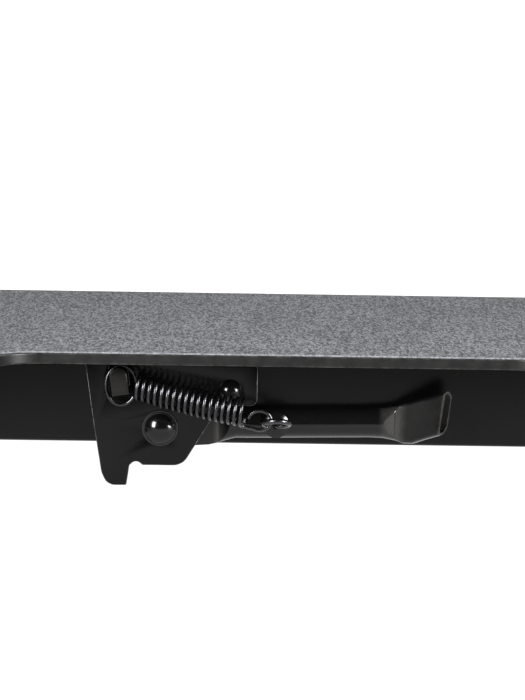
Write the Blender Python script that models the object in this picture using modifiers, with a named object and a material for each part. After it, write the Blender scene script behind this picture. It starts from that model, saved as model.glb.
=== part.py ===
"""Slant board with a spring-loaded latch lever, built from its separate pieces.

Metres, +Z up.  X runs along the deck from the end that rises (-X) to the hinged end (+X), and
the latch lever is on the -Y side.  The origin is on the floor at the middle of the footprint.
Every piece is drawn with the deck level and the lever up, which is how the board rests.
"""
import math

import bmesh
import bpy
from mathutils import Vector
from mathutils.geometry import interpolate_bezier

# ------------------------------------------------------------------ driving dimensions
GAP = 0.0003                                # left between faces that touch
SEAT = 0.0001                               # left between flat faces that carry each other

# Standing deck and its grit sheet
DECK_LENGTH, DECK_WIDTH, DECK_THICK = 0.470, 0.376, 0.006
DECK_CORNER = 0.025
RECESS_HALF, RECESS_DEPTH, RECESS_FILLET = 0.128, 0.030, 0.028
GRIT_THICK, GRIT_MARGIN, GRIT_RECESS_MARGIN = 0.0008, 0.003, 0.0008

# Deck frame
TUBE_BOTTOM, TUBE_HEIGHT, TUBE_WIDTH, TUBE_WALL = 0.042, 0.050, 0.025, 0.002
TUBE_INNER_FACE = 0.091                     # from the middle plane to each side tube
TUBE_HALF_LENGTH = 0.213
TUBE_TOP = TUBE_BOTTOM + TUBE_HEIGHT
TUBE_FACE = TUBE_INNER_FACE + TUBE_WIDTH
CROSS_TUBES = (("left", -0.195), ("right", 0.150))
CROSS_SIZE = 0.025

# Base
STABILIZER_X, STABILIZER_SIZE, STABILIZER_HALF = 0.212, 0.034, 0.150
FOOT_WALL, FOOT_SOLE, FOOT_IN, FOOT_OUT = 0.003, 0.004, 0.120, 0.156
RAIL_IN, RAIL_OUT, RAIL_HEIGHT, RAIL_HALF_LENGTH = 0.060, 0.080, 0.025, 0.226
STABILIZER_TOP = FOOT_SOLE + STABILIZER_SIZE
RAIL_BOTTOM = STABILIZER_TOP + GAP
RAIL_TOP = RAIL_BOTTOM + RAIL_HEIGHT

# Joint axes, all along Y.  The prop is as long as the distance between its own axis and the
# hinge, so its crossbar slides along one straight line of the deck and turns twice as far.
AXIS_HEIGHT = 0.072
HINGE_X, PROP_X, CROSSBAR_X = 0.205, 0.0625, -0.080
HINGE = Vector((HINGE_X, 0, AXIS_HEIGHT))
PROP = Vector((PROP_X, 0, AXIS_HEIGHT))
LEVER = Vector((-0.066, 0, TUBE_BOTTOM + 0.010))
SEAT_ANGLES = (15.0, 22.5, 30.0)            # deck tilts that the rack holds, in degrees
ROD_RADIUS, CROSSBAR_RADIUS = 0.005, 0.006
HOLE = ROD_RADIUS + GAP

# Latch side, as distances in front of the middle plane
PLATE_BACK, PLATE_THICK = 0.1222, 0.003
PLATE_FACE = PLATE_BACK + PLATE_THICK
LEVER_FLAT_Y, LEVER_TUBE_Y = 0.1191, 0.1255
LEVER_RADIUS, LEVER_FLAT_HALF, LEVER_FLAT_THICK = 0.00825, 0.0123, 0.005
BOLT_X, BOLT_Z = -0.0263, TUBE_BOTTOM + 0.0317
EYE_X, EYE_Y, EYE_Z = 0.0, 0.1457, TUBE_BOTTOM + 0.0165
EYE_RADIUS, EYE_WIRE, EYE_TILT = 0.0072, 0.0015, math.radians(20)
SPRING_TURNS, SPRING_RADIUS, SPRING_WIRE = 17, 0.0075, 0.001
SPRING_LEFT = Vector((-0.0778, -0.1350, TUBE_BOTTOM + 0.0350))
SPRING_RIGHT = Vector((-0.0193, -0.1450, TUBE_BOTTOM + 0.0228))
SPRING_SAG = 0.0009

# Finish: base colour, roughness, metallic
FINISHES = {
    "powder_coat": ((0.020, 0.020, 0.021), 0.48, 0.0),
    "panel_paint": ((0.034, 0.034, 0.034), 0.42, 0.0),
    "grit": ((0.115, 0.116, 0.120), 0.90, 0.0),
    "gloss_enamel": ((0.012, 0.012, 0.013), 0.18, 0.0),
    "black_zinc": ((0.050, 0.050, 0.052), 0.25, 1.0),
    "bright_zinc": ((0.560, 0.570, 0.580), 0.32, 1.0),
    "nylon": ((0.030, 0.030, 0.030), 0.50, 0.0),
    "rubber": ((0.018, 0.018, 0.018), 0.75, 0.0),
}

FACING_FRONT = (math.pi / 2, 0, 0)          # local z points to -Y, local x-y lies in X-Z
FACING_REAR = (-math.pi / 2, 0, 0)          # local z points to +Y
ALONG_X = (math.pi / 2, 0, math.pi / 2)     # local z points to +X, local x-y lies in Y-Z

# ------------------------------------------------------------------ scene and pivots
for leftover in list(bpy.data.objects):
    bpy.data.objects.remove(leftover)

board = bpy.data.collections.new("slant_board")
cutters = bpy.data.collections.new("cutters")
for group in (board, cutters):
    bpy.context.scene.collection.children.link(group)


def pivot(name, place, parent=None):
    """An empty on a joint's axis, which the pieces that move about it hang from."""
    empty = bpy.data.objects.new(name, None)
    empty["world"] = tuple(place)
    empty.parent = parent
    empty.location = place - (Vector(parent["world"]) if parent else Vector())
    board.objects.link(empty)
    return empty


deck = pivot("deck_pivot", HINGE)
prop = pivot("prop_pivot", PROP)
lever_arm = pivot("lever_pivot", LEVER, deck)


# ------------------------------------------------------------------ making pieces
def add(name, data, finish, place=(0, 0, 0), turn=(0, 0, 0), on=None):
    """Link a piece, give it its own material, and hang it from its pivot."""
    piece = bpy.data.objects.new(name, data)
    colour, roughness, metallic = FINISHES[finish]
    material = bpy.data.materials.new(name + "_" + finish)
    material.use_nodes = True
    shader = material.node_tree.nodes["Principled BSDF"]
    shader.inputs["Base Color"].default_value = (*colour, 1)
    shader.inputs["Roughness"].default_value = roughness
    shader.inputs["Metallic"].default_value = metallic
    data.materials.append(material)
    piece.parent = on
    piece.location = Vector(place) - (Vector(on["world"]) if on else Vector())
    piece.rotation_euler = turn
    board.objects.link(piece)
    return piece


def bevel(piece, width, segments=2):
    """Round a piece's hard edges."""
    modifier = piece.modifiers.new("rounded_edges", "BEVEL")
    modifier.width = width
    modifier.segments = segments
    modifier.limit_method = "ANGLE"
    return piece


def block_mesh(name, size):
    mesh = bpy.data.meshes.new(name)
    shape = bmesh.new()
    bmesh.ops.create_cube(shape, size=1)
    bmesh.ops.scale(shape, vec=size, verts=shape.verts)
    shape.to_mesh(mesh)
    shape.free()
    return mesh


def block(name, low, high, finish, on=None, edge=0.0006):
    """A rectangular piece between two corners."""
    low, high = Vector(low), Vector(high)
    piece = add(name, block_mesh(name, high - low), finish, (low + high) / 2, on=on)
    return bevel(piece, edge)


def rod_mesh(name, radius, length, sides=20):
    mesh = bpy.data.meshes.new(name)
    shape = bmesh.new()
    bmesh.ops.create_cone(shape, cap_ends=True, segments=sides, radius1=radius, radius2=radius,
                          depth=length)
    shape.to_mesh(mesh)
    shape.free()
    mesh.shade_smooth()
    mesh.set_sharp_from_angle(angle=math.radians(40))
    return mesh


def rod(name, x, z, front, rear, radius, finish, on=None):
    """A plain round bar along Y, from y=front to y=rear."""
    place = (x, (front + rear) / 2, z)
    return add(name, rod_mesh(name, radius, rear - front), finish, place, FACING_FRONT, on)


def arc(centre, radius, start, end, steps):
    """Points on a circle from one angle to another, in degrees."""
    turns = [math.radians(start + (end - start) * step / steps) for step in range(steps + 1)]
    return [(centre[0] + radius * math.cos(turn), centre[1] + radius * math.sin(turn))
            for turn in turns]


def circle(x, y, radius, sides=20):
    return arc((x, y), radius, 0, 360 * (1 - 1 / sides), sides - 1)


def rounded(corners, steps=5):
    """A closed outline through (x, y, radius) corners, each turned by an arc of its radius."""
    outline = []
    for index, (x, y, radius) in enumerate(corners):
        corner = Vector((x, y))
        back = (Vector(corners[index - 1][:2]) - corner).normalized()
        ahead = (Vector(corners[(index + 1) % len(corners)][:2]) - corner).normalized()
        if radius == 0:
            outline.append((x, y))
            continue
        half = back.angle(ahead) / 2
        centre = corner + (back + ahead).normalized() * (radius / math.sin(half))
        reach = radius / math.tan(half)
        first, last = corner + back * reach - centre, corner + ahead * reach - centre
        start = math.degrees(math.atan2(first.y, first.x))
        sweep = math.degrees(math.atan2(last.y, last.x)) - start
        sweep = (sweep + 180) % 360 - 180
        outline += arc(centre, radius, start, start + sweep, steps)
    return outline


def rectangle(x0, y0, x1, y1, radius=0.0, steps=3):
    return rounded([(x0, y0, radius), (x1, y0, radius), (x1, y1, radius), (x0, y1, radius)], steps)


def flat(name, loops, thickness, finish, place, turn=(0, 0, 0), on=None):
    """A plate or a section cut to an outline, with any further outlines as holes in it."""
    curve = bpy.data.curves.new(name, "CURVE")
    curve.dimensions = "2D"
    curve.fill_mode = "BOTH"
    curve.extrude = thickness / 2
    for loop in loops:
        spline = curve.splines.new("POLY")
        spline.points.add(len(loop) - 1)
        for point, (x, y) in zip(spline.points, loop):
            point.co = (x, y, 0, 1)
        spline.use_cyclic_u = True
    return add(name, curve, finish, place, turn, on)


def as_mesh(piece):
    """Turn a curve piece into a closed mesh, so that it can be cut or joined."""
    bpy.context.view_layer.update()
    graph = bpy.context.evaluated_depsgraph_get()
    mesh = bpy.data.meshes.new_from_object(piece.evaluated_get(graph))
    shape = bmesh.new()
    shape.from_mesh(mesh)
    bmesh.ops.remove_doubles(shape, verts=shape.verts, dist=1e-6)
    shape.to_mesh(mesh)
    shape.free()
    solid = bpy.data.objects.new(piece.name, mesh)
    solid.parent = piece.parent
    solid.matrix_world = piece.matrix_world
    name = piece.name
    bpy.data.objects.remove(piece)
    solid.name = name
    board.objects.link(solid)
    return solid


def combine(piece, tool, operation):
    """Join a tool to a piece, or cut it out of the piece, and keep it with the cutters."""
    for group in tool.users_collection:
        group.objects.unlink(tool)
    cutters.objects.link(tool)
    tool.hide_render = True
    tool.display_type = "WIRE"
    modifier = piece.modifiers.new(tool.name, "BOOLEAN")
    modifier.operation = operation
    modifier.solver = "EXACT"
    modifier.object = tool


def drill(piece, x, z, front, rear, radius):
    """Cut a round hole along Y through a piece."""
    name = "hole_in_" + piece.name
    tool = bpy.data.objects.new(name, rod_mesh(name, radius, rear - front))
    tool.location = (x, (front + rear) / 2, z)
    tool.rotation_euler = FACING_FRONT
    combine(piece, tool, "DIFFERENCE")


def turned(name, profile, finish, place, turn, on=None, ring=False, steps=20):
    """A round piece: (radius, height) points down its outer side, swept round its axis."""
    mesh = bpy.data.meshes.new(name)
    count = len(profile)
    edges = [(index, index + 1) for index in range(count - 1)]
    if ring:
        edges.append((count - 1, 0))
    mesh.from_pydata([(radius, 0, height) for radius, height in profile], edges, [])
    piece = add(name, mesh, finish, place, turn, on)
    screw = piece.modifiers.new("turned", "SCREW")
    screw.steps = screw.render_steps = steps
    screw.use_merge_vertices = True
    screw.merge_threshold = 0.00002
    screw.use_smooth_shade = True
    return piece


def sleeve(name, x, z, near, far, bore, radius, finish, turn, on=None):
    """A plain bush or washer round an axis along Y, between two distances from the middle plane."""
    side = -1 if turn == FACING_FRONT else 1
    profile = [(radius, far - near), (radius, 0), (bore, 0), (bore, far - near)]
    return turned(name, profile, finish, (x, side * near, z), turn, on, ring=True)


def dome(radius, height, steps=4):
    """The outer side of a domed head, from its crown down to its rim."""
    sphere = (radius * radius + height * height) / (2 * height)
    widest = math.asin(radius / sphere)
    angles = [widest * step / steps for step in range(steps + 1)]
    return [(sphere * math.sin(angle), sphere * (math.cos(angle) - 1) + height)
            for angle in angles]


def wire(name, path, radius, finish, on=None, resolution=2):
    """Round wire or bar bent along a path."""
    curve = bpy.data.curves.new(name, "CURVE")
    curve.dimensions = "3D"
    curve.bevel_depth = radius
    curve.bevel_resolution = resolution
    curve.use_fill_caps = True
    spline = curve.splines.new("POLY")
    spline.points.add(len(path) - 1)
    origin = Vector(on["world"]) if on else Vector()
    for point, place in zip(spline.points, path):
        point.co = (*(Vector(place) - origin), 1)
    return add(name, curve, finish, origin, on=on)


# ------------------------------------------------------------------ deck and its frame
def recessed_outline(margin, recess_margin):
    """Deck outline with a hand recess in its front edge, set in by the margins."""
    x, y = DECK_LENGTH / 2 - margin, DECK_WIDTH / 2 - margin
    recess_y = -DECK_WIDTH / 2 + RECESS_DEPTH + recess_margin
    mouth = RECESS_HALF + RECESS_FILLET + margin
    lip = RECESS_DEPTH - RECESS_FILLET
    fillet = y + recess_y - lip
    corner = DECK_CORNER - margin
    half = [(x, y, corner), (x, -y, corner), (mouth, -y, lip), (mouth, recess_y, fillet)]
    return rounded(half + [(-a, b, radius) for a, b, radius in reversed(half)], 8)


def deck_top():
    panel_low = TUBE_TOP + GAP
    flat("deck_panel", [recessed_outline(0, 0)], DECK_THICK, "panel_paint",
         (0, 0, panel_low + DECK_THICK / 2), on=deck)
    grit_low = panel_low + DECK_THICK + SEAT
    flat("grit_sheet", [recessed_outline(GRIT_MARGIN, GRIT_RECESS_MARGIN)], GRIT_THICK, "grit",
         (0, 0, grit_low + GRIT_THICK / 2), on=deck)


def hollow_section(width, height, wall, radius=0.003):
    """Rounded outer and inner outlines of a rectangular tube."""
    x, y = width / 2, height / 2
    return [rectangle(-x, -y, x, y, radius), rectangle(wall - x, wall - y, x - wall, y - wall, 0.001)]


def side_tubes():
    middle_z = TUBE_BOTTOM + TUBE_HEIGHT / 2
    section = hollow_section(TUBE_WIDTH, TUBE_HEIGHT, TUBE_WALL)
    for label, side in (("front", -1), ("rear", 1)):
        middle_y = side * (TUBE_INNER_FACE + TUBE_WIDTH / 2)
        tube = as_mesh(flat("side_tube_" + label, section, 2 * TUBE_HALF_LENGTH, "powder_coat",
                            (0, middle_y, middle_z), ALONG_X, deck))
        near, far = middle_y - TUBE_WIDTH, middle_y + TUBE_WIDTH
        drill(tube, HINGE_X, AXIS_HEIGHT, near, far, HOLE)
        outer = (near, middle_y) if side < 0 else (middle_y, far)
        drill(tube, BOLT_X, BOLT_Z, *outer, 0.0043)
        if side < 0:
            drill(tube, LEVER.x, LEVER.z, near, far, 0.0073)
        else:
            drill(tube, LEVER.x, LEVER.z, *outer, 0.0043)
        for end, direction in (("left", -1), ("right", 1)):
            tube_cap("tube_cap_%s_%s" % (label, end), direction, middle_y, middle_z)


def tube_cap(name, direction, middle_y, middle_z):
    """Moulded plug that closes a side tube: a flange on the tube's end and a plug inside it."""
    flange = 0.0022
    reach = direction * (TUBE_HALF_LENGTH + SEAT)
    outline = rectangle(-TUBE_WIDTH / 2, -TUBE_HEIGHT / 2, TUBE_WIDTH / 2, TUBE_HEIGHT / 2, 0.003)
    cap = as_mesh(flat(name, [outline], flange, "nylon",
                       (reach + direction * flange / 2, middle_y, middle_z), ALONG_X, deck))
    plug_size = (0.004, TUBE_WIDTH - 2 * TUBE_WALL - 2 * GAP, TUBE_HEIGHT - 2 * TUBE_WALL - 2 * GAP)
    plug = bpy.data.objects.new(name + "_plug", block_mesh(name + "_plug", plug_size))
    plug.location = (reach - direction * 0.0005, middle_y, middle_z)
    combine(cap, plug, "UNION")


def cross_tubes():
    half = TUBE_INNER_FACE - GAP
    section = hollow_section(CROSS_SIZE, CROSS_SIZE, TUBE_WALL, 0.002)
    for label, x in CROSS_TUBES:
        flat("cross_tube_" + label, section, 2 * half, "powder_coat",
             (x, 0, TUBE_TOP - CROSS_SIZE / 2), FACING_FRONT, deck)


# ------------------------------------------------------------------ hook plates
def hook_outline():
    """Plate seen from the front: a hook finger, a relief notch, a flat seat, and a side flag."""
    z = TUBE_BOTTOM
    body = rounded([
        (-0.1094, TUBE_TOP, 0), (-0.1035, z + 0.010, 0.060), (-0.0992, z - 0.0160, 0.010),
        (-0.0958, z - 0.0233, 0.0068), (-0.0848, z - 0.0233, 0.0012),
        (-0.0832, z - 0.0118, 0.0005)])
    notch = arc((-0.0796, z - 0.0118), 0.0036, 180, 20, 7)
    rest = rounded([
        (-0.0758, z - 0.0115, 0.0006), (-0.0530, z - 0.0115, 0.0095), (-0.0318, z + 0.0234, 0.004),
        (-0.0107, z + 0.0234, 0.0040), (-0.0107, TUBE_TOP, 0)])
    return body + notch + rest


TONGUE_LEAN = math.radians(9)
TONGUE_X, TONGUE_HALF = -0.0878, 0.0050
TONGUE_BASE_Z = TUBE_BOTTOM + 0.0298
TONGUE_THICK, TONGUE_BACK = 0.0028, 0.1370


def leaning(points):
    """Turn tongue outlines, drawn about its base, to lean with the plate's left edge."""
    cosine, sine = math.cos(TONGUE_LEAN), math.sin(TONGUE_LEAN)
    return [(TONGUE_X + x * cosine - y * sine, TONGUE_BASE_Z + x * sine + y * cosine)
            for x, y in points]


def hook_plate(label, side):
    """Latch plate, laser cut; the front one has a tongue pressed out of it for the spring."""
    bolt_hole = circle(BOLT_X, BOLT_Z, 0.0033)
    loops = [hook_outline(), bolt_hole]
    if side < 0:
        window = leaning(rectangle(-TONGUE_HALF, TONGUE_THICK + 0.001, TONGUE_HALF, 0.017, 0.001))
        loops += [circle(LEVER.x, LEVER.z, HOLE), window]
    else:
        loops += [circle(LEVER.x, LEVER.z, 0.0033)]
    middle = side * (PLATE_BACK + PLATE_THICK / 2)
    plate = flat("hook_plate_" + label, loops, PLATE_THICK, "powder_coat", (0, middle, 0),
                 FACING_FRONT, deck)
    if side > 0:
        return
    plate = as_mesh(plate)
    upright = [(-TONGUE_HALF, 0), (TONGUE_HALF, 0)]
    upright += arc((0, 0.0115), TONGUE_HALF, 0, 180, 10)
    shelf = rectangle(-TONGUE_HALF, 0, TONGUE_HALF, TONGUE_THICK)
    reach = TONGUE_BACK + TONGUE_THICK
    parts = (("tongue_upright", upright, TONGUE_BACK, reach),
             ("tongue_shelf", shelf, PLATE_BACK + 0.001, reach - 0.0005))
    for name, outline, near, far in parts:
        tool = as_mesh(flat(name, [leaning(outline)], far - near, "powder_coat",
                            (0, -(near + far) / 2, 0), FACING_FRONT))
        combine(plate, tool, "UNION")


def hook_fixings():
    """Domed bolts through spacer bushes into the side tubes, and a welded spacer block."""
    places = (("front", FACING_FRONT, BOLT_X, BOLT_Z), ("rear_right", FACING_REAR, BOLT_X, BOLT_Z),
              ("rear_left", FACING_REAR, LEVER.x, LEVER.z))
    for label, turn, x, z in places:
        side = -1 if turn == FACING_FRONT else 1
        head = [(radius, height + GAP) for radius, height in dome(0.0066, 0.0045)]
        shank = [(0.003, GAP), (0.003, -0.020), (0, -0.020)]
        turned("hook_bolt_" + label, head + shank, "black_zinc", (x, side * PLATE_FACE, z), turn,
               deck)
        sleeve("hook_bush_" + label, x, z, TUBE_FACE + SEAT, PLATE_BACK - SEAT, 0.0033, 0.006,
               "bright_zinc", turn, deck)
    block("hook_spacer", (-0.101, SEAT - PLATE_BACK, 0.066), (-0.095, -TUBE_FACE - SEAT, 0.088),
          "powder_coat", deck)


# ------------------------------------------------------------------ latch lever
def lever_sections():
    """Stations along the lever: centre (x, y, z), half thickness, half height, lean."""
    z = TUBE_BOTTOM
    flat_z, tube_z = LEVER.z, z + 0.0136
    thin = LEVER_FLAT_THICK / 2
    stations = []
    for degrees in (12, 30, 50, 70, 90):
        turn = math.radians(degrees)
        stations.append((LEVER.x - LEVER_FLAT_HALF * math.cos(turn), LEVER_FLAT_Y, flat_z, thin,
                         max(thin, LEVER_FLAT_HALF * math.sin(turn)), 0))
    stations += [
        (-0.0400, LEVER_FLAT_Y, flat_z - 0.0001, thin, 0.0123, 0),
        (-0.0330, 0.1192, z + 0.0108, 0.0026, 0.0113, 0),
        (-0.0270, 0.1220, z + 0.0118, 0.0048, 0.0097, 0),
        (-0.0200, 0.1246, z + 0.0134, 0.0075, 0.0089, 0),
        (-0.0120, LEVER_TUBE_Y, tube_z, LEVER_RADIUS, LEVER_RADIUS, 0),
        (0.0530, LEVER_TUBE_Y, tube_z + 0.0011, LEVER_RADIUS, LEVER_RADIUS, 0),
        (0.0610, 0.1256, z + 0.0155, 0.0066, 0.0093, 3),
        (0.0680, 0.1264, z + 0.0164, 0.0046, 0.0108, 6),
        (0.0750, 0.1302, z + 0.0176, 0.0036, 0.0124, 8),
        (0.0840, 0.1365, z + 0.0202, 0.0034, 0.0128, 8),
        (0.0930, 0.1428, z + 0.0233, 0.0034, 0.0126, 7),
    ]
    return stations


def lever():
    """Round tube squashed flat at both ends, skinned over flat-oval sections."""
    around = 10
    rings = []
    stations = lever_sections()
    for index, (x, y, z, thin, tall, lean) in enumerate(stations):
        before, after = stations[max(index - 1, 0)], stations[min(index + 1, len(stations) - 1)]
        heading = math.atan2(after[1] - before[1], after[0] - before[0])
        lean = math.radians(lean)
        oval = [(a, b + tall - thin) for a, b in arc((0, 0), thin, 0, 180, around)]
        oval += [(a, b - tall + thin) for a, b in arc((0, 0), thin, 180, 360, around)]
        rings.append([(x - across * math.sin(heading) - up * math.sin(lean) * math.cos(heading),
                       -y - across * math.cos(heading) + up * math.sin(lean) * math.sin(heading),
                       z + up * math.cos(lean)) for across, up in oval])
    mesh = bpy.data.meshes.new("lever")
    shape = bmesh.new()
    skin = [[shape.verts.new(Vector(point) - LEVER) for point in ring] for ring in rings]
    for one, other in zip(skin, skin[1:]):
        for index in range(len(one)):
            following = (index + 1) % len(one)
            shape.faces.new((one[index], one[following], other[following], other[index]))
    shape.faces.new(reversed(skin[0]))
    shape.faces.new(skin[-1])
    bmesh.ops.recalc_face_normals(shape, faces=shape.faces)
    shape.to_mesh(mesh)
    shape.free()
    mesh.shade_smooth()
    mesh.set_sharp_from_angle(angle=math.radians(50))
    piece = add("lever", mesh, "gloss_enamel", LEVER, on=lever_arm)
    drill(piece, LEVER.x, LEVER.z, -0.130, -0.110, HOLE)
    drill(piece, EYE_X, eye_shank_z(), -0.140, -0.1275, EYE_WIRE + GAP)


def eye_shank_z():
    return EYE_Z - EYE_RADIUS * math.sin(EYE_TILT)


def spring_eye():
    """Bent wire eye welded into the lever, its ring lying almost flat and tipped up in front."""
    shank_z = eye_shank_z()
    path = [(EYE_X, -0.128, shank_z), (EYE_X, -0.1372, shank_z)]
    steps = 22
    for step in range(steps + 1):
        turn = math.radians(12 + 310 * step / steps)
        out = EYE_RADIUS * math.cos(turn)
        path.append((EYE_X + EYE_RADIUS * math.sin(turn), -EYE_Y + out * math.cos(EYE_TILT),
                     EYE_Z - out * math.sin(EYE_TILT)))
    wire("spring_eye", path, EYE_WIRE, "black_zinc", lever_arm)
    height = 0.0030
    profile = [(radius, rise) for radius, rise in dome(0.0074, height) if radius > 0.0021]
    profile = [(0.0020, height)] + profile + [(0.0020, 0)]
    turned("eye_collar", profile, "black_zinc", (EYE_X, -LEVER_TUBE_Y - LEVER_RADIUS - GAP, shank_z),
           FACING_FRONT, lever_arm, ring=True)


def lever_shaft():
    """Domed pin that the lever turns on, its washer, the bush in the tube and the end clip."""
    washer = 0.0008
    crown = PLATE_FACE + washer + 2 * SEAT
    head = [(radius, height) for radius, height in dome(0.0095, 0.0058, 6)]
    shank = [(ROD_RADIUS, 0), (ROD_RADIUS, 0.0805 - crown), (0, 0.0805 - crown)]
    turned("lever_shaft", head + shank, "gloss_enamel", (LEVER.x, -crown, LEVER.z), FACING_FRONT,
           lever_arm)
    sleeve("shaft_washer", LEVER.x, LEVER.z, PLATE_FACE + SEAT, PLATE_FACE + SEAT + washer, HOLE,
           0.0103, "black_zinc", FACING_FRONT, lever_arm)
    sleeve("lever_bush", LEVER.x, LEVER.z, 0.0893, TUBE_FACE + GAP, HOLE, 0.007, "nylon",
           FACING_FRONT, deck)
    sleeve("shaft_clip", LEVER.x, LEVER.z, 0.0811, 0.0826, HOLE, 0.008, "bright_zinc",
           FACING_FRONT, lever_arm)


def lock_pawl():
    """Keeper on the lever's shaft: its ledge holds the prop's crossbar up in the rack."""
    x, z = LEVER.x, LEVER.z
    ledge, lip = AXIS_HEIGHT - 0.0066, AXIS_HEIGHT
    hub = [(x + a, z + b) for a, b in arc((0, 0), 0.011, 100, 300, 12)]
    arm = rounded([(x + 0.030, z - 0.001, 0.004), (x + 0.0365, lip, 0.0015), (-0.0353, lip, 0.0015),
                   (-0.0353, ledge, 0.001), (-0.062, ledge, 0.002)], 3)
    flat("lock_pawl", [hub + arm, circle(x, z, HOLE)], 0.006, "bright_zinc", (0, -0.086, 0),
         FACING_FRONT, lever_arm)


# ------------------------------------------------------------------ return spring
def coil_point(turn):
    """Point on the right-handed coil; whole turns are its foremost points."""
    share = turn / SPRING_TURNS
    axis = (SPRING_RIGHT - SPRING_LEFT).normalized()
    forward = (Vector((0, -1, 0)) + axis * axis.y).normalized()
    down = axis.cross(forward)
    if down.z > 0:
        down = -down
    centre = SPRING_LEFT.lerp(SPRING_RIGHT, share)
    centre.z -= 4 * SPRING_SAG * share * (1 - share)
    angle = 2 * math.pi * turn
    return centre + SPRING_RADIUS * (forward * math.cos(angle) + down * math.sin(angle))


def oval(centre, across, tall, start, end, steps):
    """Part of an upright oval loop, seen from the front, between two angles in degrees."""
    turns = [math.radians(start + (end - start) * step / steps) for step in range(steps + 1)]
    return [Vector((centre[0] + across * math.cos(turn), centre[1],
                    centre[2] + tall * math.sin(turn))) for turn in turns]


def spring():
    """Left loop round the tongue, close coils, and a right loop linked through the eye."""
    z = TUBE_BOTTOM
    left = oval((-0.0880, SPRING_LEFT.y, z + 0.0357), 0.0086, 0.0112, 325, 15, 26)
    first, last = -0.5, SPRING_TURNS + 0.20
    per_turn = 10
    count = round((last - first) * per_turn)
    coil = [coil_point(first + (last - first) * step / count) for step in range(count + 1)]
    right = oval((-0.0096, -EYE_Y, z + 0.0183), 0.0064, 0.0055, 245, 525, 20)
    left.reverse()
    left_loop = [Vector(point) for point in reversed(left)]
    into = (coil[0] - coil[1]).normalized() * 0.004
    leave = (left_loop[-1] - left_loop[-2]).normalized() * 0.003
    joint = interpolate_bezier(left_loop[-1], left_loop[-1] + leave, coil[0] + into, coil[0], 7)
    out = (coil[-1] - coil[-2]).normalized() * 0.003
    meet = (right[0] - right[1]).normalized() * 0.003
    exit_bend = interpolate_bezier(coil[-1], coil[-1] + out, right[0] + meet, right[0], 7)
    path = left_loop + joint[1:-1] + coil + exit_bend[1:-1] + right
    wire("return_spring", path, SPRING_WIRE, "black_zinc", deck)


# ------------------------------------------------------------------ rack and prop
def rack_seats():
    """Where the crossbar lies along the deck at each held tilt."""
    prop_length = PROP_X - CROSSBAR_X
    return [HINGE_X - 2 * prop_length * math.cos(math.radians(tilt)) for tilt in SEAT_ANGLES]


def racks():
    """Angle brackets under the deck whose lower edges have a shallow seat for each tilt."""
    low, high = AXIS_HEIGHT + CROSSBAR_RADIUS + 0.0005, TUBE_TOP
    thick, flange = 0.005, 0.014
    seat_radius, seat_depth = 0.0078, 0.0022
    spread = math.degrees(math.acos(1 - seat_depth / seat_radius))
    edge = [(-0.100, low)]
    for x in rack_seats():
        edge += arc((x, low + seat_depth - seat_radius), seat_radius, 90 + spread, 90 - spread, 6)
    edge.append((-0.025, low))
    outline = edge + [(-0.025, high), (-0.100, high)]
    for label, side in (("front", -1), ("rear", 1)):
        web = as_mesh(flat("rack_" + label, [outline], thick, "powder_coat",
                           (0, side * 0.0745, 0), FACING_FRONT, deck))
        name = "rack_flange_" + label
        tool = bpy.data.objects.new(name, block_mesh(name, (0.075, flange, 0.003)))
        tool.location = (-0.0625, side * (0.0745 - flange / 2), high - 0.0015)
        combine(web, tool, "UNION")


def prop_frame():
    """Swinging prop: two flat legs, a crossbar through their ends, and a tube between them."""
    leg_in, leg_out, half = 0.0545, 0.0595, 0.010
    z = AXIS_HEIGHT
    outline = [(x, z + y) for x, y in arc((PROP_X, 0), half, -90, 90, 12)]
    outline += [(x, z + y) for x, y in arc((CROSSBAR_X, 0), half, 90, 270, 12)]
    holes = [circle(PROP_X, z, HOLE), circle(CROSSBAR_X, z, CROSSBAR_RADIUS + GAP)]
    for label, side in (("front", -1), ("rear", 1)):
        flat("prop_leg_" + label, [outline] + holes, leg_out - leg_in, "powder_coat",
             (0, side * (leg_in + leg_out) / 2, 0), FACING_FRONT, prop)
    rod("prop_crossbar", CROSSBAR_X, z, -0.0895, 0.0800, CROSSBAR_RADIUS, "bright_zinc", prop)
    length = 2 * (leg_in - GAP)
    profile = [(0.0085, length), (0.0085, 0), (HOLE, 0), (HOLE, length)]
    turned("prop_tube", profile, "powder_coat", (PROP_X, length / 2, z), FACING_FRONT, prop,
           ring=True)


# ------------------------------------------------------------------ base
def stabilizers():
    """Cross feet of square tube under both ends, in moulded rubber boots."""
    section = hollow_section(STABILIZER_SIZE, STABILIZER_SIZE, TUBE_WALL)
    for label, side in (("left", -1), ("right", 1)):
        x = side * STABILIZER_X
        flat("stabilizer_" + label, section, 2 * STABILIZER_HALF, "powder_coat",
             (x, 0, FOOT_SOLE + STABILIZER_SIZE / 2), FACING_FRONT)
        for corner, end in (("front", -1), ("rear", 1)):
            foot("foot_%s_%s" % (corner, label), x, end)


def foot(name, x, end):
    """Boot closed at its outer end, with a pocket for the square tube and a flat sole."""
    half = STABILIZER_SIZE / 2 + FOOT_WALL
    top = STABILIZER_TOP + 0.0026
    low = (x - half, min(end * FOOT_IN, end * FOOT_OUT), 0)
    high = (x + half, max(end * FOOT_IN, end * FOOT_OUT), top)
    boot = block(name, low, high, "rubber", edge=0.003)
    room = STABILIZER_SIZE + 2 * GAP
    depth = STABILIZER_HALF + GAP - FOOT_IN
    pocket = bpy.data.objects.new(name + "_pocket", block_mesh(name + "_pocket",
                                                              (room, depth + 0.01, room)))
    pocket.location = (x, end * (FOOT_IN - 0.01 + (depth + 0.01) / 2),
                       FOOT_SOLE + STABILIZER_SIZE / 2)
    combine(boot, pocket, "DIFFERENCE")


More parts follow.
